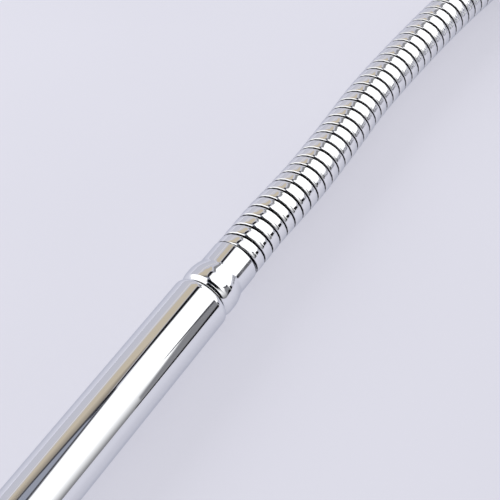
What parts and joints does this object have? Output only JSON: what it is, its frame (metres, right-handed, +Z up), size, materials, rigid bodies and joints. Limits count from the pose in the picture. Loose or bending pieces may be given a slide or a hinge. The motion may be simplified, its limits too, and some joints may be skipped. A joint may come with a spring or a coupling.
{
  "type": "handheld bath sprayer",
  "caption": "Handheld bath sprayer: chrome tube handle with a thumb valve and a round spray head, on a swivelling strip-wound metal hose that ends in a union nut.",
  "frame": {"origin": "on the surface that the sprayer lies on, under the middle of the handle and head without the hose", "axes": "+X along the handle from the spray head to the hose, +Z up, the side that the spray face looks to"},
  "size_m": [0.6381, 0.2334, 0.033],
  "materials": {
    "chrome_plate": "polished chrome plate",
    "hose_steel": "bright polished strip",
    "brass": "machined",
    "spring_steel": "bright steel",
    "black_rubber": "matt moulded",
    "grey_silicone": "matt moulded",
    "white_plastic": "satin moulded",
    "dark_plastic": "satin moulded",
    "clear_plastic": "extruded tube"
  },
  "bodies": {
    "hose": {"swivel_ferrule": "chrome_plate", "swivel_o_ring_outer": "black_rubber", "swivel_o_ring_inner": "black_rubber", "swivel_clip": "spring_steel", "hose_stem": "brass", "hose_free": "hose_steel", "hose_coil": "hose_steel", "inner_tube": "black_rubber", "tap_ferrule": "chrome_plate", "tap_stem": "brass"},
    "handle": {"handle_tube": "chrome_plate", "tail_bush": "brass", "water_adapter": "brass", "water_tube": "clear_plastic", "valve_body": "chrome_plate", "valve_bonnet": "brass", "return_spring": "spring_steel", "rear_o_ring": "black_rubber", "neck_o_ring": "black_rubber", "head_shell": "chrome_plate", "trim_ring": "chrome_plate", "flow_plate": "white_plastic", "nozzle_mat": "grey_silicone", "face_plate": "white_plastic", "face_screw": "spring_steel"},
    "button": {"thumb_button": "dark_plastic", "valve_piston": "brass", "piston_o_ring": "black_rubber"},
    "union_nut": {"tap_nut": "chrome_plate", "tap_washer": "black_rubber", "filter_screen": "spring_steel"}
  },
  "joints": [
    {"name": "handle_swivel", "type": "hinge", "parent": "hose", "child": "handle", "pos_m": [0.11777, 0, 0.0095], "axis": [1, 0, 0], "continuous": true},
    {"name": "button_press", "type": "slide", "parent": "handle", "child": "button", "axis": [0, 0, -1], "range_m": [0, 0.0045], "stiffness_N_per_m": 800, "springref_m": -0.003, "deforming": ["return_spring"]},
    {"name": "nut_swivel", "type": "hinge", "parent": "hose", "child": "union_nut", "pos_m": [0.48018, -0.15, 0.012], "axis": [0, -1, 0], "continuous": true}
  ]
}
